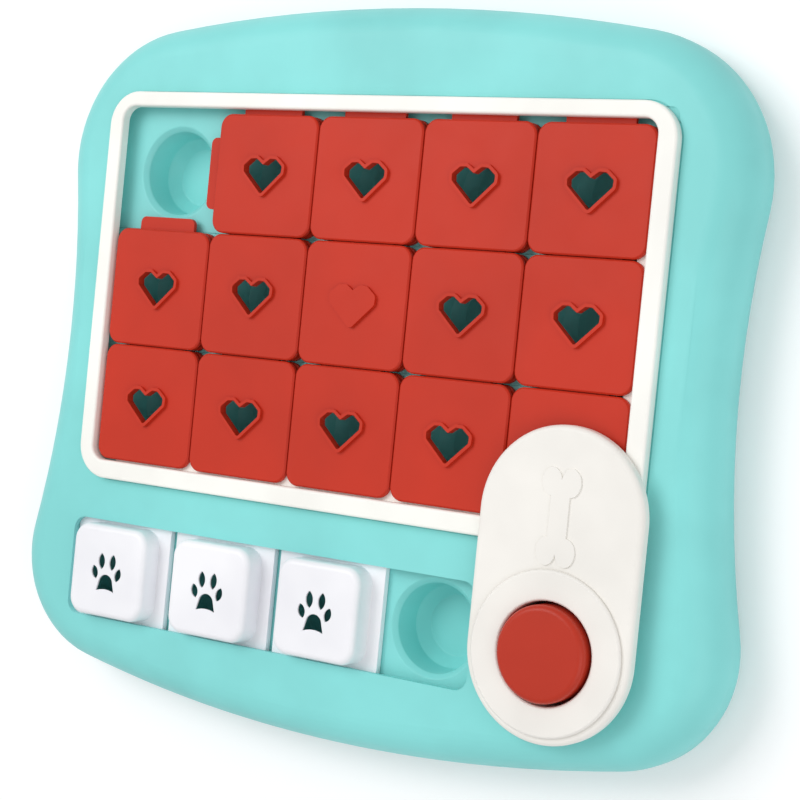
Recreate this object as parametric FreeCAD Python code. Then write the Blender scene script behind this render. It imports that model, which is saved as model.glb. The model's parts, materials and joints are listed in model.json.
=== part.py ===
import FreeCAD, Part
import math
import os

# Dog puzzle feeder: a teal tray housing with a five by three field of sliding
# heart tiles, a row of three paw sliders on a track, and a swing lid that
# turns about a squeaker button. Millimetres, X right, Y up the face, Z out
# of the face; the rubber feet stand on Z = 0.

V = FreeCAD.Vector

# housing outline: corner circles joined by tangent arcs, about the middle
TOP_Y = 134.0
BOTTOM_Y = -134.0
UPPER_CORNER = (93.2, 74.5)
UPPER_CORNER_R = 52.0
LOWER_CORNER = (108.5, -81.0)
LOWER_CORNER_R = 42.0
WAIST_X = 140.6

# housing levels and walls
FOOT_H = 2.0
COVER_H = 10.0
SHELL_H = 17.0
WALL = 2.4
BULLNOSE_R = 13.0
COVER_ROUND_R = 8.4
INNER_BEVEL = 9.0
COVER_BEVEL = 4.6
REGISTER_T = 1.4
REGISTER_H = 2.0
REGISTER_GAP = 0.3

# tile field
COLS = 5
ROWS = 3
PITCH = 45.0
FIELD_Y = 25.0
TILE_GAP = 0.4
TILE_T = 6.0
TILE_ABOVE_FACE = 2.2
TILE_CORNER_R = 5.0
TILE_EDGE = 0.6
TILE_TOP_T = 2.1
TILE_FLOOR_GAP = 0.3
TILE_SKIRT = 1.8

# tongues and grooves that lock the tiles together
TONGUE_REACH = 5.0
TONGUE_T = 1.6
TONGUE_TOP_W = 26.0
TONGUE_LEFT_W = 27.0
TONGUE_END_R = 2.4
TONGUE_FIT = 0.2
GROOVE_EXTRA = 0.6

# heart on each tile
HEART_NOTCH_Y = 2.7
HEART_LOBE_IN = (3.3, 5.1)
HEART_LOBE_OUT = (5.3, 5.0)
HEART_SIDE_TOP = (7.8, 2.9)
HEART_SIDE_LOW = (7.7, 1.3)
HEART_POINT_Y = -6.1
HEART_ROUND = 0.8
HEART_RIM_T = 1.2
HEART_RIM_H = 1.3
SOLID_HEART = (2, 3)
EMPTY_CELL = (1, 1)

# white frame round the field
FRAME_H = 4.0
REVEAL_LEFT = 1.1
REVEAL_TOP = 1.8
REVEAL_RIGHT = 0.4
REVEAL_BOTTOM = 0.4
FRAME_OUT = 7.5
FRAME_CORNER_R = 13.0
FRAME_INNER_R = 5.6
FRAME_EDGE_R = 1.0
FRAME_LINE_W = 0.6
FRAME_LINE_D = 0.6
RAIL_W = 4.0
RAIL_END_GAP = 8.0
RAIL_FLOOR_GAP = 0.2
POCKET_UNDERCUT = 5.9
POCKET_CORNER_R = 3.0

# treat wells
WELL_R = 16.0
WELL_LIP = 1.8
WELL_DEPTH = 16.0
WELL_BASE_R = 4.0
WELL_DRAFT = 1.0
CUP_WALL = 2.0
TRAY_T = 2.0
TRAY_MARGIN = 3.2
RIM_WALL = 2.6

# slider track
SLOTS = 4
SLOT_PITCH = 48.8
PLATE_W = 46.0
PLATE_T = 2.6
PLATE_UNDER_LIP = 2.6
TRACK_X = -30.8
TRACK_Y = -85.4
TRACK_L = 182.2
TRACK_W = 38.0
TRACK_CORNER_R = 5.0
TRACK_FIT = 0.2
TRACK_END_FIT = 0.2
KNOB_X = 35.8
KNOB_Y = 35.2
KNOB_H = 8.8
KNOB_CORNER_R = 6.5
KNOB_EDGE_R = 2.4
KNOB_WALL = 2.0
PAW_SKIN = 0.9
PAW_SKIN_R = 10.0

# paw cut-out in each knob
PAW_Y = -0.5
TOE_INNER = (2.7, 4.4)
TOE_INNER_SIZE = (1.55, 3.1)
TOE_INNER_TILT = 4.0
TOE_OUTER = (5.7, -0.1)
TOE_OUTER_SIZE = (1.5, 2.65)
TOE_OUTER_TILT = 17.0
PAD_HALF_W = 4.4
PAD_TOP_Y = -0.6
PAD_SHOULDER = (3.1, -2.5)
PAD_BOTTOM_Y = -7.1
PAD_HOLLOW_Y = -6.2

# swing lid and its pivot
PIVOT_X = 94.0
PIVOT_Y = -84.5
LID_R = 30.6
LID_REACH = 45.4
LID_T = 4.4
LID_EDGE_R = 2.0
LID_SKIN = 2.0
LID_SKIRT = 2.2
LID_OVER_FRAME = 0.8
LID_FIT = 0.15
HUB_R = 27.6
BORE_R = 21.5
BORE_FIT = 0.05
RING_R = 27.9
RING_T = 1.5
RING_EDGE_R = 0.6
RING_HOLE_R = 17.5
RING_NECK_DEPTH = 5.0
BOSS_R = 25.6
BONE_H = 0.6
BONE_LOBE_R = 4.8
BONE_LOBE_X = 4.7
BONE_LOBE_Y = 11.6
BONE_SHAFT = 4.6

# squeaker button and bellows
BUTTON_R = 16.4
BUTTON_PROUD = 3.4
BUTTON_EDGE_R = 2.2
BUTTON_WALL = 2.2
BUTTON_FLANGE_T = 2.0
BUTTON_FLANGE_FIT = 0.1
BUTTON_STOP_GAP = 0.2
BUTTON_POST_R = 11.0
BELLOWS_R = 12.6
BELLOWS_WAIST = 10.4
BELLOWS_WALL = 1.2
BELLOWS_FOLDS = 2
BELLOWS_H = 13.0
REED_R = 3.6
REED_H = 4.0
REED_HOLE_R = 1.0
REED_FIT = 0.1
CUP_FLOOR_T = 2.0

# fixings
SCREW_R = 1.5
SCREW_L = 12.0
SCREW_HEAD_R = 3.2
SCREW_HEAD_H = 2.2
SCREW_FIT = 0.05
SCREW_SINK = 3.0
SCREW_SLOT = 1.0
SCREW_BOSS_R = 4.6
SCREWS = ((131.0, 72.0), (-131.0, 72.0), (131.0, -18.0), (-131.0, -18.0),
          (0.0, 115.0), (-84.0, -118.4), (84.0, -119.4), (0.0, -119.0))
POST_R = 3.6
FOOT_R = 8.0
FOOT_SINK = 1.0
FOOT_EDGE = 0.8
FEET = ((108.0, 98.0), (-108.0, 98.0), (118.0, -92.0), (-118.0, -92.0))

# levels worked out from the sizes above
Z_COVER = FOOT_H
Z_SPLIT = FOOT_H + COVER_H
Z_FACE = Z_SPLIT + SHELL_H
Z_TILE = Z_FACE + TILE_ABOVE_FACE
Z_TILE_LOW = Z_TILE - TILE_T
Z_FLOOR = Z_TILE_LOW - TILE_FLOOR_GAP
Z_TONGUE = Z_TILE - TILE_TOP_T - TONGUE_FIT
Z_FRAME = Z_FACE + FRAME_H
Z_LIP = Z_FACE - WALL
Z_PLATE = Z_LIP - TRACK_FIT
Z_TRACK = Z_PLATE - PLATE_T - TRACK_FIT
Z_LID = Z_FRAME + LID_OVER_FRAME
Z_RING = Z_LID + LID_T + LID_FIT
Z_BUTTON = Z_RING + RING_T + BUTTON_PROUD
Z_NECK = Z_FACE - RING_NECK_DEPTH
Z_FLANGE = Z_NECK - BUTTON_STOP_GAP - BUTTON_FLANGE_T
Z_CUP = Z_FLANGE - BELLOWS_H
HALF_X = COLS * PITCH / 2
HALF_Y = ROWS * PITCH / 2
FRAME_W = 2 * (HALF_X + FRAME_OUT)
FRAME_L = 2 * (HALF_Y + FRAME_OUT)
POCKET_X = HALF_X + POCKET_UNDERCUT
POCKET_Y = HALF_Y + POCKET_UNDERCUT
TILE_W = PITCH - TILE_GAP
PLATE_Y = TRACK_W + 2 * PLATE_UNDER_LIP


def export(shape, name):
    if not shape.isValid():
        print("INVALID", name)
    shape.exportStep("parts/" + name + ".step")
    print(name, round(shape.Volume, 1), len(shape.Solids), len(shape.Faces))


def block(x0, x1, y0, y1, z0, z1):
    return Part.makeBox(x1 - x0, y1 - y0, z1 - z0, V(x0, y0, z0))


def rod(x, y, r, z0, z1):
    return Part.makeCylinder(r, z1 - z0, V(x, y, z0))


def edges_at(shape, z, vertical=False):
    """Edges lying wholly at height z, or the upright ones."""
    found = []
    for edge in shape.Edges:
        box = edge.BoundBox
        if vertical:
            if box.ZLength > 0.5 and box.XLength < 1e-6 and box.YLength < 1e-6:
                found.append(edge)
        elif abs(box.ZMin - z) < 1e-4 and abs(box.ZMax - z) < 1e-4:
            found.append(edge)
    return found


def rounded_wire(x, y, w, h, r):
    """Rounded rectangle centred on x, y."""
    a = w / 2
    b = h / 2
    k = r * (1 - math.sqrt(0.5))
    edges = []
    for sx, sy, turn in ((1, 1, 0), (-1, 1, 1), (-1, -1, 2), (1, -1, 3)):
        corner = V(x + sx * (a - k), y + sy * (b - k), 0)
        on_x = V(x + sx * a, y + sy * (b - r), 0)
        on_y = V(x + sx * (a - r), y + sy * b, 0)
        ends = (on_x, on_y) if turn % 2 == 0 else (on_y, on_x)
        edges.append((ends[0], Part.Arc(ends[0], corner, ends[1]).toShape(), ends[1]))
    loop = []
    for i, item in enumerate(edges):
        following = edges[(i + 1) % 4]
        loop.append(item[1])
        if item[2].distanceToPoint(following[0]) > 1e-6:
            loop.append(Part.makeLine(item[2], following[0]))
    return Part.Wire(loop)


def slab(wire, z0, z1):
    """Solid between two heights over a closed outline."""
    face = Part.Face(wire)
    face.translate(V(0, 0, z0))
    return face.extrude(V(0, 0, z1 - z0))


def rounded_block(x, y, w, h, r, z0, z1):
    return slab(rounded_wire(x, y, w, h, r), z0, z1)


def turned(points, x, y):
    """Body of revolution about a vertical axis, points as radius, height."""
    wire = Part.makePolygon([V(r, 0, z) for r, z in points + [points[0]]])
    body = Part.Face(wire).revolve(V(0, 0, 0), V(0, 0, 1), 360)
    body.translate(V(x, y, 0))
    return body


def mirrored_points(points):
    """A right-hand half outline, top to bottom, closed by its mirror."""
    left = [(-px, py) for px, py in reversed(points) if px > 0]
    return points + left


def end_circle(corner, corner_r, y_end):
    """Centre height and radius of the arc over the top or under the bottom."""
    side = 1 if y_end > 0 else -1
    drop = side * corner[1] - side * y_end
    radius = (corner_r ** 2 - corner[0] ** 2 - drop ** 2) / (2 * (drop + corner_r))
    return V(0, y_end - side * radius, 0), radius


def waist_circle():
    """Hollow arc that touches both corner circles of the right side."""
    a = WAIST_X - UPPER_CORNER[0]
    b = WAIST_X - LOWER_CORNER[0]
    ka = 2 * (UPPER_CORNER_R - a)
    kb = 2 * (LOWER_CORNER_R - b)
    ca = a ** 2 - UPPER_CORNER_R ** 2
    cb = b ** 2 - LOWER_CORNER_R ** 2
    share = ka / kb
    p = 1 - share
    q = -2 * (UPPER_CORNER[1] - share * LOWER_CORNER[1])
    r = UPPER_CORNER[1] ** 2 + ca - share * (LOWER_CORNER[1] ** 2 + cb)
    y = (-q - math.sqrt(q * q - 4 * p * r)) / (2 * p)
    radius = (ca + (y - UPPER_CORNER[1]) ** 2) / ka
    return V(WAIST_X + radius, y, 0), radius


def toward(start, end, length):
    """Point at a distance from start, in the direction of end."""
    way = end - start
    return start + way * (length / way.Length)


def arc_about(centre, start, end):
    """The shorter arc about a centre from one point to another."""
    radius = (start - centre).Length
    middle = toward(centre, (start + end) * 0.5, radius)
    return Part.Arc(start, middle, end).toShape()


def outline(inset):
    """Housing outline, drawn in by an even inset."""
    upper = V(UPPER_CORNER[0], UPPER_CORNER[1], 0)
    lower = V(LOWER_CORNER[0], LOWER_CORNER[1], 0)
    top, top_r = end_circle(UPPER_CORNER, UPPER_CORNER_R, TOP_Y)
    low, low_r = end_circle(LOWER_CORNER, LOWER_CORNER_R, BOTTOM_Y)
    waist, waist_r = waist_circle()
    a = toward(top, upper, top_r - inset)
    b = toward(waist, upper, waist_r + inset)
    c = toward(waist, lower, waist_r + inset)
    d = toward(low, lower, low_r - inset)
    flip = [V(-p.x, p.y, 0) for p in (a, b, c, d)]
    edges = [arc_about(top, flip[0], a), arc_about(upper, a, b), arc_about(waist, b, c),
             arc_about(lower, c, d), arc_about(low, d, flip[3])]
    left_upper = V(-upper.x, upper.y, 0)
    left_lower = V(-lower.x, lower.y, 0)
    left_waist = V(-waist.x, waist.y, 0)
    edges += [arc_about(left_lower, flip[3], flip[2]), arc_about(left_waist, flip[2], flip[1]),
              arc_about(left_upper, flip[1], flip[0])]
    return Part.Wire(edges)


def cell(row, col):
    x = (col - (COLS + 1) / 2) * PITCH
    y = FIELD_Y + ((ROWS + 1) / 2 - row) * PITCH
    return x, y


def slot(number):
    """Centre of a treat well on the slider track."""
    return TRACK_X + (number - (SLOTS + 1) / 2) * SLOT_PITCH


def plate_centre(number):
    """Centre of a slider plate with the train pushed fully left."""
    return TRACK_X - TRACK_L / 2 + TRACK_END_FIT + PLATE_W / 2 + (number - 1) * SLOT_PITCH


def well_profile(radius, depth, z_top, lip):
    """Inside of a treat well: bevelled lip, drafted wall and bevelled base."""
    z_low = z_top - depth
    base = radius - WELL_DRAFT
    return [(0.0, z_low), (base - WELL_BASE_R, z_low), (base, z_low + WELL_BASE_R),
            (radius, z_top - lip), (radius + lip, z_top), (radius + lip, z_top + 1.0), (0.0, z_top + 1.0)]


def cup(x, y, z_top):
    """Outside of a moulded treat cup under a tray plate."""
    z_low = z_top - WELL_DEPTH - CUP_WALL
    top_r = WELL_R + CUP_WALL
    base_r = top_r - WELL_DRAFT
    return turned([(0.0, z_low), (base_r - WELL_BASE_R, z_low), (base_r, z_low + WELL_BASE_R),
                   (top_r, z_top - TRAY_T / 2), (0.0, z_top - TRAY_T / 2)], x, y)


def tray(plate, centres, z_top):
    """A flat plate with a treat cup moulded at each centre."""
    body = plate.multiFuse([cup(x, y, z_top) for x, y in centres])
    wells = [turned(well_profile(WELL_R, WELL_DEPTH, z_top, WELL_LIP), x, y) for x, y in centres]
    return body.cut(wells).removeSplitter()


def row_tray(row):
    """Strip of the field floor with the treat cups of one row of cells."""
    w = 2 * (POCKET_X + TRAY_MARGIN)
    h = 2 * (POCKET_Y + TRAY_MARGIN)
    floor = rounded_block(0, FIELD_Y, w, h, POCKET_CORNER_R + TRAY_MARGIN, Z_FLOOR - TRAY_T, Z_FLOOR)
    y = cell(row, 1)[1]
    top = FIELD_Y + h if row == 1 else y + PITCH / 2
    low = FIELD_Y - h if row == ROWS else y - PITCH / 2
    strip = floor.common(block(-w, w, low, top, Z_FLOOR - 2 * TRAY_T, Z_FLOOR + 1.0))
    return tray(strip, [cell(row, col + 1) for col in range(COLS)], Z_FLOOR)


def track_tray():
    w = TRACK_L + 2 * TRAY_MARGIN
    h = PLATE_Y + 2 * TRACK_FIT + 2 * TRAY_MARGIN
    plate = rounded_block(TRACK_X, TRACK_Y, w, h, TRAY_MARGIN, Z_TRACK - TRAY_T, Z_TRACK)
    centres = [(slot(n + 1), TRACK_Y) for n in range(SLOTS)]
    return tray(plate, centres, Z_TRACK)


def field_rim():
    """Wall round the tile pocket, standing on the tray."""
    w = 2 * POCKET_X
    h = 2 * POCKET_Y
    outer = rounded_block(0, FIELD_Y, w + 2 * RIM_WALL, h + 2 * RIM_WALL,
                          POCKET_CORNER_R + RIM_WALL, Z_FLOOR, Z_FACE - WALL / 2)
    return outer


def field_pocket():
    return rounded_block(0, FIELD_Y, 2 * POCKET_X, 2 * POCKET_Y, POCKET_CORNER_R,
                         Z_FLOOR - 1.0, Z_FACE + 1.0)


def track_rim():
    w = TRACK_L + 2 * RIM_WALL
    h = PLATE_Y + 2 * TRACK_FIT + 2 * RIM_WALL
    return rounded_block(TRACK_X, TRACK_Y, w, h, RIM_WALL, Z_TRACK, Z_FACE - WALL / 2)


def track_channel():
    """Lip opening in the face over the wider channel for the plates."""
    mouth = rounded_block(TRACK_X, TRACK_Y, TRACK_L, TRACK_W, TRACK_CORNER_R, Z_LIP - 0.5, Z_FACE + 1.0)
    h = PLATE_Y + 2 * TRACK_FIT
    channel = block(TRACK_X - TRACK_L / 2, TRACK_X + TRACK_L / 2, TRACK_Y - h / 2, TRACK_Y + h / 2,
                    Z_TRACK - 1.0, Z_LIP)
    return mouth.fuse(channel)


def frame_line():
    """Fine groove in the face round the outside of the white frame."""
    outer = rounded_block(0, FIELD_Y, FRAME_W + 2 * FRAME_LINE_W, FRAME_L + 2 * FRAME_LINE_W,
                          FRAME_CORNER_R + FRAME_LINE_W, Z_FACE - FRAME_LINE_D, Z_FACE + 1.0)
    inner = rounded_block(0, FIELD_Y, FRAME_W, FRAME_L, FRAME_CORNER_R,
                          Z_FACE - FRAME_LINE_D - 1.0, Z_FACE + 2.0)
    return outer.cut(inner)


def upper_housing():
    """Bullnosed top shell with the tile pocket, the track and the button cup."""
    skin = slab(outline(0), Z_SPLIT, Z_FACE)
    skin = skin.makeFillet(BULLNOSE_R, edges_at(skin, Z_FACE))
    core = slab(outline(WALL), Z_SPLIT - 1.0, Z_LIP)
    core = core.makeChamfer(INNER_BEVEL, edges_at(core, Z_LIP))
    bosses = [rod(x, y, SCREW_BOSS_R, Z_SPLIT, Z_FACE).common(skin) for x, y in SCREWS]
    cup_out = BORE_R + CUP_WALL
    cup_wall = rod(PIVOT_X, PIVOT_Y, cup_out, Z_CUP - CUP_FLOOR_T, Z_FACE - WALL / 2)
    boss = rod(PIVOT_X, PIVOT_Y, BOSS_R, Z_FACE - WALL / 2, Z_LID - LID_FIT)
    body = skin.cut(core)
    body = body.multiFuse(bosses + [field_rim(), track_rim(), cup_wall, boss])
    bore = rod(PIVOT_X, PIVOT_Y, BORE_R, Z_CUP, Z_LID + 1.0)
    vent = rod(PIVOT_X, PIVOT_Y, REED_HOLE_R * 2, Z_CUP - CUP_FLOOR_T - 1.0, Z_CUP + 1.0)
    pilots = [rod(x, y, SCREW_R + SCREW_FIT, Z_SPLIT - 1.0, screw_tip() + 0.5) for x, y in SCREWS]
    cuts = [field_pocket(), track_channel(), frame_line(), bore, vent] + pilots
    return body.cut(cuts)


def screw_tip():
    return Z_COVER + SCREW_SINK + SCREW_L


def bottom_cover():
    """Shallow under-tray with screw posts, tray posts and foot recesses."""
    skin = slab(outline(0), Z_COVER, Z_SPLIT)
    skin = skin.makeFillet(COVER_ROUND_R, edges_at(skin, Z_COVER))
    core = slab(outline(WALL), Z_COVER + WALL, Z_SPLIT + 1.0)
    core = core.makeChamfer(COVER_BEVEL, edges_at(core, Z_COVER + WALL))
    edge = WALL + REGISTER_GAP
    register = slab(outline(edge), Z_SPLIT - 4.0, Z_SPLIT + REGISTER_H)
    register = register.cut(slab(outline(edge + REGISTER_T), Z_SPLIT - 5.0, Z_SPLIT + REGISTER_H + 1.0))
    neck = slab(outline(WALL - 0.6), Z_SPLIT - 4.0, Z_SPLIT - 0.01)
    neck = neck.cut(slab(outline(edge + REGISTER_T), Z_SPLIT - 5.0, Z_SPLIT + 1.0))
    posts = [rod(x, y, SCREW_BOSS_R, Z_COVER + WALL / 2, Z_SPLIT) for x, y in SCREWS]
    posts += [rod(x, y, POST_R, Z_COVER + WALL / 2, Z_FLOOR - TRAY_T) for x, y in field_posts()]
    posts += [rod(x, TRACK_Y, POST_R, Z_COVER + WALL / 2, Z_TRACK - TRAY_T) for x in track_posts()]
    body = skin.cut(core).multiFuse([neck, register] + posts)
    holes = [rod(x, y, SCREW_R + 0.3, Z_COVER - 1.0, Z_SPLIT + 1.0) for x, y in SCREWS]
    holes += [rod(x, y, SCREW_HEAD_R + 0.3, Z_COVER - 1.0, Z_COVER + SCREW_SINK) for x, y in SCREWS]
    holes += [rod(x, y, FOOT_R + 0.2, Z_COVER - 1.0, Z_COVER + FOOT_SINK) for x, y in FEET]
    return body.cut(holes)


def field_posts():
    """Posts stand in the gaps where four cups meet."""
    spots = []
    for sx in (-1.5, 1.5):
        for sy in (-0.5, 0.5):
            spots.append((sx * PITCH, FIELD_Y + sy * PITCH))
    return spots


def track_posts():
    return [TRACK_X + n * SLOT_PITCH for n in (-1, 0, 1)]


def tile_frame():
    """White bezel with tongue rails that enter the outer tile grooves."""
    bars = rounded_block(0, FIELD_Y, FRAME_W, FRAME_L, FRAME_CORNER_R, Z_FACE, Z_FRAME)
    x0 = HALF_X + REVEAL_RIGHT
    y0 = FIELD_Y - HALF_Y - REVEAL_BOTTOM
    w = x0 + HALF_X + REVEAL_LEFT
    h = FIELD_Y + HALF_Y + REVEAL_TOP - y0
    hole = rounded_block(x0 - w / 2, y0 + h / 2, w, h, FRAME_INNER_R, Z_FACE - 1.0, Z_FRAME + 1.0)
    bars = bars.cut(hole)
    bars = bars.makeFillet(FRAME_EDGE_R, edges_at(bars, Z_FRAME))
    low = Z_FLOOR + RAIL_FLOOR_GAP
    reach = TONGUE_REACH - REVEAL_RIGHT
    ends = RAIL_END_GAP
    right = block(x0, x0 + RAIL_W, FIELD_Y - HALF_Y, FIELD_Y + HALF_Y - ends, low, Z_FACE)
    right_lip = block(x0 - reach, x0 + 1.0, FIELD_Y - HALF_Y + ends, FIELD_Y + HALF_Y - ends,
                      Z_TONGUE - TONGUE_T, Z_TONGUE)
    under = block(-HALF_X + ends, x0 + RAIL_W, y0 - RAIL_W, y0, low, Z_FACE)
    under_lip = block(-HALF_X + ends, HALF_X - ends, y0 - 1.0, y0 + reach, Z_TONGUE - TONGUE_T, Z_TONGUE)
    return bars.multiFuse([right, right_lip, under, under_lip]).removeSplitter()


def tongue(w, reach, r):
    """Flat tongue with rounded ends that points up the Y axis."""
    root = -2.0
    body = slab(rounded_wire(0, (reach + root) / 2, w, reach - root, r), 0, TONGUE_T)
    return body


def heart_core():
    half = [(0.0, HEART_NOTCH_Y), HEART_LOBE_IN, HEART_LOBE_OUT, HEART_SIDE_TOP,
            HEART_SIDE_LOW, (0.0, HEART_POINT_Y)]
    points = [V(px, py, 0) for px, py in mirrored_points(half)]
    return Part.makePolygon(points + [points[0]])


def heart(offset, z0, z1):
    """Heart outline grown evenly from its angular core."""
    return slab(heart_core().makeOffset2D(offset, 0), z0, z1)


def tile(solid_heart):
    """One sliding tile at the origin, its top face at the tile height."""
    a = TILE_W / 2
    body = rounded_block(0, 0, TILE_W, TILE_W, TILE_CORNER_R, Z_TILE_LOW, Z_TILE)
    body = body.makeChamfer(TILE_EDGE, edges_at(body, Z_TILE))
    depth = TONGUE_REACH - TILE_GAP + GROOVE_EXTRA
    g0 = Z_TONGUE - TONGUE_T - TONGUE_FIT
    g1 = Z_TONGUE + TONGUE_FIT
    groove_right = block(a - depth, a + 1, -a - 1, a + 1, g0, g1)
    groove_under = block(-a - 1, a + 1, -a - 1, -a + depth, g0, g1)
    inner = a - depth - TILE_SKIRT
    hollow_x0 = -a + TILE_SKIRT
    hollow_w = inner - hollow_x0
    middle = (inner + hollow_x0) / 2
    hollow = rounded_block(middle, -middle, hollow_w, hollow_w, TILE_CORNER_R - TILE_SKIRT,
                           Z_TILE_LOW - 1.0, Z_TILE - TILE_TOP_T)
    body = body.cut([groove_right, groove_under, hollow])
    up = tongue(TONGUE_TOP_W, TONGUE_REACH, TONGUE_END_R)
    up.translate(V(0, a, Z_TONGUE - TONGUE_T))
    side = tongue(TONGUE_LEFT_W, TONGUE_REACH, TONGUE_END_R)
    side.rotate(V(0, 0, 0), V(0, 0, 1), 90)
    side.translate(V(-a, 0, Z_TONGUE - TONGUE_T))
    rim = heart(HEART_ROUND + HEART_RIM_T, Z_TILE - TILE_TOP_T, Z_TILE + HEART_RIM_H)
    body = body.multiFuse([up, side, rim])
    if not solid_heart:
        body = body.cut(heart(HEART_ROUND, Z_TILE_LOW - 1.0, Z_TILE + HEART_RIM_H + 1.0))
    return body


def lens(x, y, half_w, half_h, tilt, z0, z1):
    """Pointed oval made of two arcs."""
    top = V(0, half_h, 0)
    low = V(0, -half_h, 0)
    right = Part.Arc(top, V(half_w, 0, 0), low).toShape()
    left = Part.Arc(low, V(-half_w, 0, 0), top).toShape()
    body = slab(Part.Wire([right, left]), z0, z1)
    body.rotate(V(0, 0, 0), V(0, 0, 1), tilt)
    body.translate(V(x, y, 0))
    return body


def paw(z0, z1):
    """Four toes and a main pad, as cutting bodies."""
    tools = []
    for side in (-1, 1):
        tools.append(lens(side * TOE_INNER[0], PAW_Y + TOE_INNER[1], TOE_INNER_SIZE[0],
                          TOE_INNER_SIZE[1], -side * TOE_INNER_TILT, z0, z1))
        tools.append(lens(side * TOE_OUTER[0], PAW_Y + TOE_OUTER[1], TOE_OUTER_SIZE[0],
                          TOE_OUTER_SIZE[1], -side * TOE_OUTER_TILT, z0, z1))
    low_left = V(-PAD_HALF_W, PAW_Y + PAD_BOTTOM_Y, 0)
    low_right = V(PAD_HALF_W, PAW_Y + PAD_BOTTOM_Y, 0)
    shoulder_left = V(-PAD_SHOULDER[0], PAW_Y + PAD_SHOULDER[1], 0)
    shoulder_right = V(PAD_SHOULDER[0], PAW_Y + PAD_SHOULDER[1], 0)
    dome = Part.Arc(shoulder_left, V(0, PAW_Y + PAD_TOP_Y, 0), shoulder_right).toShape()
    hollow = Part.Arc(low_right, V(0, PAW_Y + PAD_HOLLOW_Y, 0), low_left).toShape()
    wire = Part.Wire([dome, Part.makeLine(shoulder_right, low_right), hollow,
                      Part.makeLine(low_left, shoulder_left)])
    tools.append(slab(wire, z0, z1))
    return tools


def slider(number):
    """Plate with a hollow square knob and a paw cut through its top."""
    z_low = Z_PLATE - PLATE_T
    z_top = Z_PLATE + KNOB_H
    plate = block(-PLATE_W / 2, PLATE_W / 2, -PLATE_Y / 2, PLATE_Y / 2, z_low, Z_PLATE)
    knob = rounded_block(0, 0, KNOB_X, KNOB_Y, KNOB_CORNER_R, Z_PLATE - 1.0, z_top)
    knob = knob.makeFillet(KNOB_EDGE_R, edges_at(knob, z_top))
    hollow = rounded_block(0, 0, KNOB_X - 2 * KNOB_WALL, KNOB_Y - 2 * KNOB_WALL,
                           KNOB_CORNER_R - KNOB_WALL, z_low - 1.0, z_top - KNOB_WALL)
    thin = rod(0, 0, PAW_SKIN_R, z_top - KNOB_WALL - 1.0, z_top - PAW_SKIN)
    body = plate.fuse(knob).cut([hollow, thin] + paw(z_low, z_top + 1.0)).removeSplitter()
    body.translate(V(plate_centre(number), TRACK_Y, 0))
    return body


def pill_wire(r, reach):
    """Long oval from the pivot at the origin to its far end up the Y axis."""
    top = Part.Arc(V(r, reach, 0), V(0, reach + r, 0), V(-r, reach, 0)).toShape()
    low = Part.Arc(V(-r, 0, 0), V(0, -r, 0), V(r, 0, 0)).toShape()
    return Part.Wire([top, Part.makeLine(V(-r, reach, 0), V(-r, 0, 0)), low,
                      Part.makeLine(V(r, 0, 0), V(r, reach, 0))])


def bone(z0, z1):
    """Raised bone: a shaft and four lobes."""
    body = block(-BONE_SHAFT, BONE_SHAFT, -BONE_LOBE_Y, BONE_LOBE_Y, z0, z1)
    lobes = []
    for sx in (-1, 1):
        for sy in (-1, 1):
            lobes.append(rod(sx * BONE_LOBE_X, sy * BONE_LOBE_Y, BONE_LOBE_R, z0, z1))
    return body.multiFuse(lobes).removeSplitter()


def swing_lid():
    """Long oval cover with a skirt, a hub bored for the pivot and a bone."""
    z_top = Z_LID + LID_T
    body = slab(pill_wire(LID_R, LID_REACH), Z_LID, z_top)
    body = body.makeFillet(LID_EDGE_R, edges_at(body, z_top))
    hollow = slab(pill_wire(LID_R - LID_SKIRT, LID_REACH), Z_LID - 1.0, z_top - LID_SKIN)
    hollow = hollow.cut(rod(0, 0, HUB_R, Z_LID - 2.0, z_top))
    mark = bone(z_top - 0.5, z_top + BONE_H)
    mark.translate(V(0, LID_REACH, 0))
    body = body.cut(hollow).fuse(mark)
    body = body.cut(rod(0, 0, BORE_R + BORE_FIT, Z_LID - 1.0, z_top + 1.0))
    body.translate(V(PIVOT_X, PIVOT_Y, 0))
    return body


def pivot_ring():
    """Flanged collar that holds the lid down and guides the button."""
    neck_r = BORE_R - BORE_FIT
    z_top = Z_RING + RING_T
    e = RING_EDGE_R
    return turned([(RING_HOLE_R, Z_NECK), (neck_r, Z_NECK), (neck_r, Z_RING), (RING_R, Z_RING),
                   (RING_R, z_top - e), (RING_R - e, z_top), (RING_HOLE_R + e, z_top),
                   (RING_HOLE_R, z_top - e)], PIVOT_X, PIVOT_Y)


def button():
    """Round cap with a retaining flange and a post on the bellows."""
    z_neck = Z_FLANGE + BUTTON_FLANGE_T
    cap = rod(0, 0, BUTTON_R, z_neck, Z_BUTTON)
    cap = cap.makeFillet(BUTTON_EDGE_R, edges_at(cap, Z_BUTTON))
    cap = cap.fuse(rod(0, 0, BORE_R - BUTTON_FLANGE_FIT, Z_FLANGE, z_neck))
    inside = rod(0, 0, BUTTON_R - BUTTON_WALL, Z_FLANGE - 1.0, Z_BUTTON - BUTTON_WALL)
    inside = inside.cut(rod(0, 0, BUTTON_POST_R, Z_FLANGE - 2.0, Z_BUTTON))
    body = cap.cut(inside).removeSplitter()
    body.translate(V(PIVOT_X, PIVOT_Y, 0))
    return body


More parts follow.
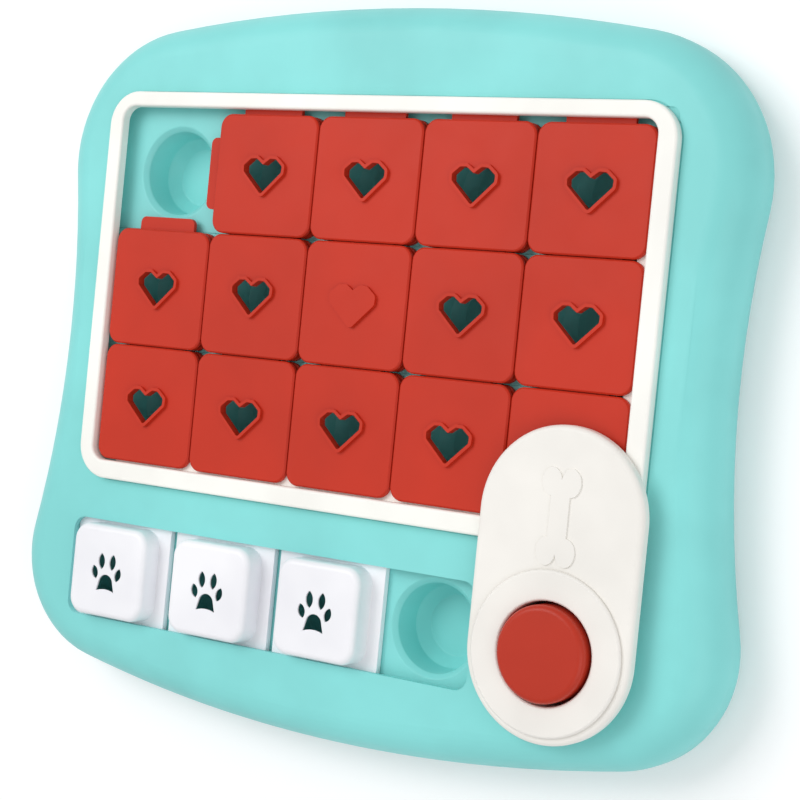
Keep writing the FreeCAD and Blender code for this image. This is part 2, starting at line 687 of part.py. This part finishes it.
def bellows():
    """Hollow rubber squeaker between the cup floor and the button."""
    fold = BELLOWS_H / BELLOWS_FOLDS
    outer = []
    inner = []
    for i in range(BELLOWS_FOLDS):
        z = Z_CUP + i * fold
        outer += [(BELLOWS_WAIST, z), (BELLOWS_R, z + fold / 2)]
        inner += [(BELLOWS_WAIST - BELLOWS_WALL, z), (BELLOWS_R - BELLOWS_WALL, z + fold / 2)]
    outer.append((BELLOWS_WAIST, Z_CUP + BELLOWS_H))
    inner.append((BELLOWS_WAIST - BELLOWS_WALL, Z_CUP + BELLOWS_H))
    inner[0] = (inner[0][0], Z_CUP + BELLOWS_WALL)
    inner[-1] = (inner[-1][0], Z_CUP + BELLOWS_H - BELLOWS_WALL)
    reed_r = REED_R + REED_FIT
    points = [(reed_r, Z_CUP)] + outer + [(0.0, Z_CUP + BELLOWS_H), (0.0, inner[-1][1])]
    points += list(reversed(inner)) + [(reed_r, Z_CUP + BELLOWS_WALL)]
    return turned(points, PIVOT_X, PIVOT_Y)


def reed():
    """Small hollow squeaker plug in the base of the bellows."""
    flange = REED_R + 1.6
    return turned([(REED_HOLE_R, Z_CUP), (REED_R, Z_CUP), (REED_R, Z_CUP + BELLOWS_WALL + 0.1),
                   (flange, Z_CUP + BELLOWS_WALL + 0.1), (flange, Z_CUP + BELLOWS_WALL + 1.1),
                   (REED_R, Z_CUP + BELLOWS_WALL + 1.1), (REED_R, Z_CUP + REED_H),
                   (REED_HOLE_R, Z_CUP + REED_H)], PIVOT_X, PIVOT_Y)


def screws():
    """Pan-head screws up through the cover into the shell bosses."""
    head = Z_COVER + SCREW_SINK
    solids = []
    for x, y in SCREWS:
        body = rod(x, y, SCREW_R, head - 0.1, head + SCREW_L)
        body = body.fuse(rod(x, y, SCREW_HEAD_R, head - SCREW_HEAD_H, head))
        a = SCREW_HEAD_R * 0.7
        half = SCREW_SLOT / 2
        z0 = head - SCREW_HEAD_H - 1.0
        z1 = head - SCREW_HEAD_H + 1.0
        cross = block(x - a, x + a, y - half, y + half, z0, z1)
        cross = cross.fuse(block(x - half, x + half, y - a, y + a, z0, z1))
        solids.append(body.cut(cross).removeSplitter())
    return Part.makeCompound(solids)


def feet():
    solids = []
    for x, y in FEET:
        body = rod(x, y, FOOT_R, 0, FOOT_H + FOOT_SINK)
        solids.append(body.makeChamfer(FOOT_EDGE, edges_at(body, 0)))
    return Part.makeCompound(solids)


def tiles():
    plain = tile(False)
    solid = tile(True)
    for row in range(1, ROWS + 1):
        for col in range(1, COLS + 1):
            if (row, col) == EMPTY_CELL:
                continue
            shape = (solid if (row, col) == SOLID_HEART else plain).copy()
            x, y = cell(row, col)
            shape.translate(V(x, y, 0))
            export(shape, "tile_r%dc%d" % (row, col))


os.makedirs("parts", exist_ok=True)
export(upper_housing(), "upper_housing")
export(bottom_cover(), "bottom_cover")
for number in range(1, ROWS + 1):
    export(row_tray(number), "row_tray_%d" % number)
export(track_tray(), "track_tray")
export(tile_frame(), "tile_frame")
tiles()
for number in range(1, SLOTS):
    export(slider(number), "slider_%d" % number)
export(swing_lid(), "swing_lid")
export(pivot_ring(), "pivot_ring")
export(button(), "squeaker_button")
export(bellows(), "squeaker_bellows")
export(reed(), "squeaker_reed")
export(screws(), "cover_screws")
export(feet(), "rubber_feet")
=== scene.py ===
import bpy
import bmesh
import json
import math
from bpy.props import FloatProperty, FloatVectorProperty, IntProperty, PointerProperty
from mathutils import Matrix, Vector


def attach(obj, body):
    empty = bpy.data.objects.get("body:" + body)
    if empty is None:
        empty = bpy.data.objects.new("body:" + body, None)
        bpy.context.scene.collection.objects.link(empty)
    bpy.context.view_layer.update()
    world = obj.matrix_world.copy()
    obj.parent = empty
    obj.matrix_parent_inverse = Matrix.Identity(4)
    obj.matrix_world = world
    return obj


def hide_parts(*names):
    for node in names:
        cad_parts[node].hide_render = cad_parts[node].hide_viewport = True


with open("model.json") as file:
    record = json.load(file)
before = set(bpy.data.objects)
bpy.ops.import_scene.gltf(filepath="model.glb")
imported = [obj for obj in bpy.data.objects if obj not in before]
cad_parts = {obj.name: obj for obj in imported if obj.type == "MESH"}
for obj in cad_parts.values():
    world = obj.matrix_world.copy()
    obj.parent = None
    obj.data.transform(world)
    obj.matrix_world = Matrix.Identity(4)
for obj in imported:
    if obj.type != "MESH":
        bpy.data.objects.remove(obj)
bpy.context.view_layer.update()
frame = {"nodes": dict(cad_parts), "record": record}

bl_info = {
    "name": "Dog puzzle feeder",
    "version": (1, 0, 0),
    "blender": (4, 5, 0),
    "location": "3D View > Sidebar > Puzzle feeder",
    "description": "Moulded pieces and finishes of a dog puzzle feeder toy",
    "category": "Object",
}

MM = 0.001

# What the toy holds: tiles by row and column, and sliders.
COLS = 5
ROWS = 3
EMPTY_CELL = (1, 1)
SLIDERS = 3

# Corners of the tile pocket, measured from the middle of the tile field.
FIELD_Y = 25.0 * MM
POCKET_END = (118.6 * MM, 73.6 * MM)
POCKET_LOW = 24.9 * MM
CORNER_TOP = 28.4 * MM
CORNER_R = 9.6 * MM
CORNER_STEPS = 8

# The lid's raised bone: its height, where it lies from the lid's pivot, and
# the slack for finding its points.
BONE_H = 0.6 * MM
BONE_FROM = 28.0 * MM
BONE_HALF_W = 10.0 * MM
HEIGHT_SLACK = 1e-5

# Meshes, angles in degrees: points this close are merged, faces this flat are
# joined, edges sharper than ROUND_FROM are rounded, and edges that are still
# sharper than CREASE_FROM are shaded as creases.
MERGE_WITHIN = 1e-6
FLAT_WITHIN = 0.6
ROUND_FROM = 32.0
CREASE_FROM = 40.0

# Moulded plastic: shine, scales of the noises, ends of the mottle's ramp, and
# how far the roughness strays.
SPECULAR = 0.28
COAT_ROUGHNESS = 0.25
FLOW_SCALE = 22.0
SHEEN_SCALE = 75.0
SPARK_SCALE = 1500.0
SPARK_DEPTH = 0.00003
MOTTLE_FROM = 0.35
MOTTLE_TO = 0.65
SHEEN_DOWN = 0.05
SHEEN_UP = 0.06

# Stage: camera, lights, floor and surroundings.
CAMERA_PLACE = (0.3854851, 0.0105143, 0.6113088)
CAMERA_TURN = (0.0361841, 0.5571852, 0.1163590)
CAMERA_LENS = 87.5155
SENSOR_W = 36.0
LIGHT_AIM = (0.0, 0.0, 0.02)
LIGHT_SIZE = 0.9
KEY_PLACE = (-0.60, 0.55, 1.25)
KEY_POWER = 10.0
FILL_PLACE = (0.95, -0.35, 0.80)
FILL_POWER = 3.6
FLOOR_ROUGHNESS = 0.6
FLOOR_LIFT = 0.12
WORLD_LIGHT = 0.56
WORLD_SEEN = 1.0


def tile_names():
    """Every tile of the field, row by row, leaving out the empty cell."""
    names = []
    for row in range(1, ROWS + 1):
        for col in range(1, COLS + 1):
            if (row, col) != EMPTY_CELL:
                names.append("tile_r%dc%d" % (row, col))
    return names


def body_of(node):
    """The CAD body that carries a node."""
    for body, members in frame["record"]["behaviour"]["bodies"].items():
        if node in members:
            return body
    raise RuntimeError("no body holds " + node)


def linear(colour):
    """Screen colour to the linear values that a shader takes."""
    out = []
    for c in colour[:3]:
        out.append(c / 12.92 if c <= 0.04045 else ((c + 0.055) / 1.055) ** 2.4)
    return (out[0], out[1], out[2], 1.0)


def colour_prop(name, description, value):
    return FloatVectorProperty(name=name, description=description, subtype="COLOR_GAMMA",
                               size=3, min=0.0, max=1.0, default=value)


def length_prop(name, description, value_mm):
    return FloatProperty(name=name, description=description, subtype="DISTANCE",
                         unit="LENGTH", default=value_mm * MM, min=0.0)


class FEEDER_PG_sizes(bpy.types.PropertyGroup):
    """Edge radii and moulding texture."""
    housing_edge: length_prop("Housing edge", "Rounding of the housing's openings", 0.45)
    frame_edge: length_prop("Frame edge", "Rounding of the white frame's edges", 0.35)
    tile_edge: length_prop("Tile edge", "Rounding of the tiles' grooves and tongues", 0.22)
    slider_edge: length_prop("Slider edge", "Rounding of the plates and paws", 0.22)
    lid_edge: length_prop("Lid edge", "Rounding of the lid's bone and bore", 0.28)
    button_edge: length_prop("Button edge", "Rounding of the button's lower edges", 0.3)
    bone_width: FloatProperty(name="Bone width", description="Share of the bone's full width",
                              default=0.76, min=0.5, max=1.0)
    edge_steps: IntProperty(name="Edge steps", description="Faces across each rounded edge",
                            default=2, min=1, max=6)
    floor_size: FloatProperty(name="Floor size", description="Width of the pale floor",
                              subtype="DISTANCE", unit="LENGTH", default=8.0, min=1.0)


class FEEDER_PG_colours(bpy.types.PropertyGroup):
    """Colours as they show on a screen."""
    teal: colour_prop("Teal", "Housing and trays", (0.535, 0.865, 0.855))
    tile_red: colour_prop("Tile red", "Sliding tiles", (0.770, 0.185, 0.090))
    button_red: colour_prop("Button red", "Squeaker button", (0.730, 0.200, 0.120))
    frame_white: colour_prop("Frame white", "Frame round the tiles", (0.985, 0.978, 0.955))
    slider_white: colour_prop("Slider white", "Paw sliders", (0.965, 0.965, 0.985))
    lid_white: colour_prop("Lid white", "Swing lid and pivot ring", (0.950, 0.938, 0.915))
    rubber: colour_prop("Rubber", "Feet and bellows", (0.250, 0.420, 0.410))
    steel: colour_prop("Steel", "Screws", (0.700, 0.700, 0.710))
    floor: colour_prop("Floor", "Floor of the stage", (0.970, 0.970, 0.975))


def sizes():
    return bpy.context.scene.feeder_sizes


def colours():
    return bpy.context.scene.feeder_colours


def add_node(tree, kind, **inputs):
    """A shader node with some of its sockets set by name."""
    node = tree.nodes.new(kind)
    for key, value in inputs.items():
        node.inputs[key.replace("_", " ")].default_value = value
    return node


def moulded_plastic(name, colour, roughness, grain=0.5, mottle=0.05, coat=0.0):
    """Injection moulded plastic: faint flow mottle, fine spark texture and an
    uneven sheen, all laid out on the piece's own coordinates."""
    found = bpy.data.materials.get(name)
    if found:
        return found
    material = bpy.data.materials.new(name)
    material.use_nodes = True
    tree = material.node_tree
    link = tree.links.new
    shader = tree.nodes["Principled BSDF"]
    shader.inputs["Specular IOR Level"].default_value = SPECULAR
    shader.inputs["Coat Weight"].default_value = coat
    shader.inputs["Coat Roughness"].default_value = COAT_ROUGHNESS
    place = tree.nodes.new("ShaderNodeTexCoord")
    flow = add_node(tree, "ShaderNodeTexNoise", Scale=FLOW_SCALE, Detail=3.0, Roughness=0.5)
    link(place.outputs["Object"], flow.inputs["Vector"])
    shade = tree.nodes.new("ShaderNodeValToRGB")
    base = linear(colour)
    shade.color_ramp.elements[0].position = MOTTLE_FROM
    shade.color_ramp.elements[0].color = [c * (1 - mottle) for c in base[:3]] + [1.0]
    shade.color_ramp.elements[1].position = MOTTLE_TO
    shade.color_ramp.elements[1].color = [min(1.0, c * (1 + mottle)) for c in base[:3]] + [1.0]
    link(flow.outputs["Fac"], shade.inputs["Fac"])
    link(shade.outputs["Color"], shader.inputs["Base Color"])
    sheen = add_node(tree, "ShaderNodeTexNoise", Scale=SHEEN_SCALE, Detail=2.0, Roughness=0.6)
    link(place.outputs["Object"], sheen.inputs["Vector"])
    spread = add_node(tree, "ShaderNodeMapRange")
    spread.inputs["To Min"].default_value = roughness - SHEEN_DOWN
    spread.inputs["To Max"].default_value = roughness + SHEEN_UP
    link(sheen.outputs["Fac"], spread.inputs["Value"])
    link(spread.outputs["Result"], shader.inputs["Roughness"])
    spark = add_node(tree, "ShaderNodeTexNoise", Scale=SPARK_SCALE, Detail=2.0, Roughness=0.7)
    link(place.outputs["Object"], spark.inputs["Vector"])
    bump = add_node(tree, "ShaderNodeBump", Strength=grain, Distance=SPARK_DEPTH)
    link(spark.outputs["Fac"], bump.inputs["Height"])
    link(bump.outputs["Normal"], shader.inputs["Normal"])
    return material


def turned_steel(name, colour):
    """Zinc plated steel: the plastic's fine texture on bare metal."""
    material = moulded_plastic(name, colour, 0.35, grain=0.3, mottle=0.08)
    material.node_tree.nodes["Principled BSDF"].inputs["Metallic"].default_value = 1.0
    return material


def teal_plastic():
    return moulded_plastic("satin_teal", colours().teal, 0.42)


def red_plastic():
    return moulded_plastic("satin_tile_red", colours().tile_red, 0.50)


def frame_plastic():
    return moulded_plastic("satin_warm_white", colours().frame_white, 0.42)


def slider_plastic():
    return moulded_plastic("soft_gloss_white", colours().slider_white, 0.32, coat=0.1)


def lid_plastic():
    return moulded_plastic("satin_lid_white", colours().lid_white, 0.45)


def button_plastic():
    return moulded_plastic("soft_gloss_red", colours().button_red, 0.38)


def rubber_finish():
    return moulded_plastic("matt_rubber", colours().rubber, 0.75, grain=0.8)


def set_finish(piece, material):
    piece.data.materials.clear()
    piece.data.materials.append(material)


def softened(node, material, edge, reshape=None):
    """A piece in a node's place, with its meeting faces merged and its sharp
    edges rounded as a mould leaves them."""
    source = frame["nodes"][node]
    bm = bmesh.new()
    bm.from_mesh(source.data)
    bmesh.ops.remove_doubles(bm, verts=bm.verts, dist=MERGE_WITHIN)
    if reshape:
        reshape(bm)
    bmesh.ops.dissolve_limit(bm, angle_limit=math.radians(FLAT_WITHIN), verts=bm.verts,
                             edges=bm.edges)
    limit = math.radians(ROUND_FROM)
    sharp = [e for e in bm.edges if e.is_manifold and e.calc_face_angle(0.0) > limit]
    bmesh.ops.bevel(bm, geom=sharp, offset=edge, offset_type="OFFSET",
                    segments=sizes().edge_steps, profile=0.5, affect="EDGES",
                    clamp_overlap=True, material=-1)
    for face in bm.faces:
        face.smooth = True
    mesh = bpy.data.meshes.new(node + "_moulded")
    bm.to_mesh(mesh)
    bm.free()
    mesh.set_sharp_from_angle(angle=math.radians(CREASE_FROM))
    piece = bpy.data.objects.new(node + "_moulded", mesh)
    bpy.context.scene.collection.objects.link(piece)
    set_finish(piece, material)
    even = piece.modifiers.new("even_shading", "WEIGHTED_NORMAL")
    even.keep_sharp = True
    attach(piece, body_of(node))
    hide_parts(node)
    return piece


def slim_bone(bm):
    """Narrows the lid's raised bone, which is wider in the solid."""
    joints = frame["record"]["behaviour"]["joints"]
    place = [j["pos_m"] for j in joints if j["name"] == "swing_lid_turn"][0]
    flat = max(v.co.z for v in bm.verts) - BONE_H
    verts = [v for v in bm.verts if v.co.z > flat - HEIGHT_SLACK and v.co.y > place[1] + BONE_FROM
             and abs(v.co.x - place[0]) < BONE_HALF_W]
    if not verts:
        raise RuntimeError("no bone on the lid")
    bmesh.ops.scale(bm, vec=(sizes().bone_width, 1.0, 1.0), verts=verts,
                    space=Matrix.Translation((-place[0], 0.0, 0.0)))


def close_corners(bm):
    """Fills the tile pocket's corners in under the frame's round corners,
    apart from the corner where the frame's two rails meet."""
    for sx, sy in ((1, 1), (-1, 1), (-1, -1)):
        plan = [POCKET_END]
        for step in range(CORNER_STEPS + 1):
            angle = math.radians(90.0 * step / CORNER_STEPS)
            plan.append((POCKET_END[0] - CORNER_R + CORNER_R * math.cos(angle),
                         POCKET_END[1] - CORNER_R + CORNER_R * math.sin(angle)))
        rings = []
        for z in (POCKET_LOW, CORNER_TOP):
            rings.append([bm.verts.new((sx * x, FIELD_Y + sy * y, z)) for x, y in plan])
        faces = [bm.faces.new(rings[0]), bm.faces.new(rings[1])]
        count = len(rings[0])
        for k in range(count):
            n = (k + 1) % count
            faces.append(bm.faces.new((rings[0][k], rings[0][n], rings[1][n], rings[1][k])))
        bmesh.ops.recalc_face_normals(bm, faces=faces)


def dress(node, material):
    """Gives a node that keeps its own shape its finish."""
    set_finish(frame["nodes"][node], material)


class FEEDER_OT_housing(bpy.types.Operator):
    """Bullnosed teal shell, its cover and the four trays of treat wells"""
    bl_idname = "feeder.housing"
    bl_label = "Housing and trays"

    def execute(self, context):
        teal = teal_plastic()
        edge = sizes().housing_edge
        trays = ["row_tray_%d" % (row + 1) for row in range(ROWS)]
        softened("upper_housing", teal, edge, reshape=close_corners)
        for node in ["track_tray"] + trays:
            softened(node, teal, edge)
        dress("bottom_cover", teal)
        return {"FINISHED"}


class FEEDER_OT_frame(bpy.types.Operator):
    """White frame round the tile field"""
    bl_idname = "feeder.frame"
    bl_label = "Tile frame"

    def execute(self, context):
        softened("tile_frame", frame_plastic(), sizes().frame_edge)
        return {"FINISHED"}


class FEEDER_OT_tiles(bpy.types.Operator):
    """Fourteen sliding tiles with tongues, grooves and heart rims"""
    bl_idname = "feeder.tiles"
    bl_label = "Heart tiles"

    def execute(self, context):
        for node in tile_names():
            softened(node, red_plastic(), sizes().tile_edge)
        return {"FINISHED"}


class FEEDER_OT_sliders(bpy.types.Operator):
    """Three sliders with a paw cut through each knob"""
    bl_idname = "feeder.sliders"
    bl_label = "Paw sliders"

    def execute(self, context):
        for number in range(1, SLIDERS + 1):
            node = "slider_%d" % number
            softened(node, slider_plastic(), sizes().slider_edge)
        return {"FINISHED"}


class FEEDER_OT_lid(bpy.types.Operator):
    """Swing lid with its raised bone, and the ring that holds it down"""
    bl_idname = "feeder.lid"
    bl_label = "Swing lid"

    def execute(self, context):
        edge = sizes().lid_edge
        softened("swing_lid", lid_plastic(), edge, reshape=slim_bone)
        softened("pivot_ring", lid_plastic(), edge)
        return {"FINISHED"}


class FEEDER_OT_button(bpy.types.Operator):
    """Squeaker button with the bellows and reed under it"""
    bl_idname = "feeder.button"
    bl_label = "Squeaker button"

    def execute(self, context):
        softened("squeaker_button", button_plastic(),
                 sizes().button_edge)
        dress("squeaker_bellows", rubber_finish())
        dress("squeaker_reed", lid_plastic())
        return {"FINISHED"}


class FEEDER_OT_fixings(bpy.types.Operator):
    """Cover screws and rubber feet"""
    bl_idname = "feeder.fixings"
    bl_label = "Screws and feet"

    def execute(self, context):
        dress("cover_screws", turned_steel("zinc_plated_steel", colours().steel))
        dress("rubber_feet", rubber_finish())
        return {"FINISHED"}


def softbox(name, place, power):
    """Square area light turned to the toy."""
    light = bpy.data.lights.new(name, "AREA")
    light.shape = "SQUARE"
    light.size = LIGHT_SIZE
    light.energy = power
    lamp = bpy.data.objects.new(name, light)
    lamp.location = place
    lamp.rotation_mode = "QUATERNION"
    lamp.rotation_quaternion = (Vector(LIGHT_AIM) - Vector(place)).to_track_quat("-Z", "Y")
    bpy.context.scene.collection.objects.link(lamp)


def floor_finish():
    """Pale floor that keeps a soft shadow and shows white to the camera."""
    material = bpy.data.materials.new("studio_floor")
    material.use_nodes = True
    shader = material.node_tree.nodes["Principled BSDF"]
    shader.inputs["Base Color"].default_value = linear(colours().floor)
    shader.inputs["Roughness"].default_value = FLOOR_ROUGHNESS
    shader.inputs["Emission Color"].default_value = (1.0, 1.0, 1.0, 1.0)
    path = material.node_tree.nodes.new("ShaderNodeLightPath")
    lift = material.node_tree.nodes.new("ShaderNodeMapRange")
    lift.inputs["To Max"].default_value = FLOOR_LIFT
    material.node_tree.links.new(path.outputs["Is Camera Ray"], lift.inputs["Value"])
    material.node_tree.links.new(lift.outputs["Result"], shader.inputs["Emission Strength"])
    return material


def studio_world():
    """Even white surroundings, full white behind the object."""
    world = bpy.data.worlds.new("studio")
    bpy.context.scene.world = world
    world.use_nodes = True
    tree = world.node_tree
    background = tree.nodes["Background"]
    background.inputs["Color"].default_value = (1.0, 1.0, 1.0, 1.0)
    path = tree.nodes.new("ShaderNodeLightPath")
    strength = tree.nodes.new("ShaderNodeMapRange")
    strength.inputs["To Min"].default_value = WORLD_LIGHT
    strength.inputs["To Max"].default_value = WORLD_SEEN
    tree.links.new(path.outputs["Is Camera Ray"], strength.inputs["Value"])
    tree.links.new(strength.outputs["Result"], background.inputs["Strength"])


class FEEDER_OT_stage(bpy.types.Operator):
    """Pale floor, soft studio light and the camera"""
    bl_idname = "feeder.stage"
    bl_label = "Stage"

    def execute(self, context):
        scene = context.scene
        scene.view_settings.view_transform = "Standard"
        bm = bmesh.new()
        bmesh.ops.create_grid(bm, x_segments=1, y_segments=1, size=sizes().floor_size / 2)
        mesh = bpy.data.meshes.new("floor")
        bm.to_mesh(mesh)
        bm.free()
        floor = bpy.data.objects.new("floor", mesh)
        scene.collection.objects.link(floor)
        set_finish(floor, floor_finish())
        studio_world()
        softbox("key_softbox", KEY_PLACE, KEY_POWER)
        softbox("fill_softbox", FILL_PLACE, FILL_POWER)
        lens = bpy.data.cameras.new("camera")
        lens.lens = CAMERA_LENS
        lens.sensor_width = SENSOR_W
        camera = bpy.data.objects.new("camera", lens)
        camera.location = CAMERA_PLACE
        camera.rotation_euler = CAMERA_TURN
        scene.collection.objects.link(camera)
        scene.camera = camera
        return {"FINISHED"}


OPERATORS = (FEEDER_OT_housing, FEEDER_OT_frame, FEEDER_OT_tiles, FEEDER_OT_sliders,
             FEEDER_OT_lid, FEEDER_OT_button, FEEDER_OT_fixings, FEEDER_OT_stage)


class FEEDER_PT_panel(bpy.types.Panel):
    """Lists the pieces of the feeder"""
    bl_idname = "FEEDER_PT_panel"
    bl_label = "Puzzle feeder"
    bl_space_type = "VIEW_3D"
    bl_region_type = "UI"
    bl_category = "Puzzle feeder"

    def draw(self, context):
        layout = self.layout
        for operator in OPERATORS:
            layout.operator(operator.bl_idname)
        for group in (context.scene.feeder_sizes, context.scene.feeder_colours):
            for key in group.__annotations__:
                layout.prop(group, key)


CLASSES = (FEEDER_PG_sizes, FEEDER_PG_colours) + OPERATORS + (FEEDER_PT_panel,)


def register():
    for cls in CLASSES:
        bpy.utils.register_class(cls)
    bpy.types.Scene.feeder_sizes = PointerProperty(type=FEEDER_PG_sizes)
    bpy.types.Scene.feeder_colours = PointerProperty(type=FEEDER_PG_colours)


def unregister():
    del bpy.types.Scene.feeder_colours
    del bpy.types.Scene.feeder_sizes
    for cls in reversed(CLASSES):
        bpy.utils.unregister_class(cls)


def main():
    register()
    bpy.ops.feeder.housing()
    bpy.ops.feeder.frame()
    bpy.ops.feeder.tiles()
    bpy.ops.feeder.sliders()
    bpy.ops.feeder.lid()
    bpy.ops.feeder.button()
    bpy.ops.feeder.fixings()
    bpy.ops.feeder.stage()


if __name__ == "__main__":
    main()
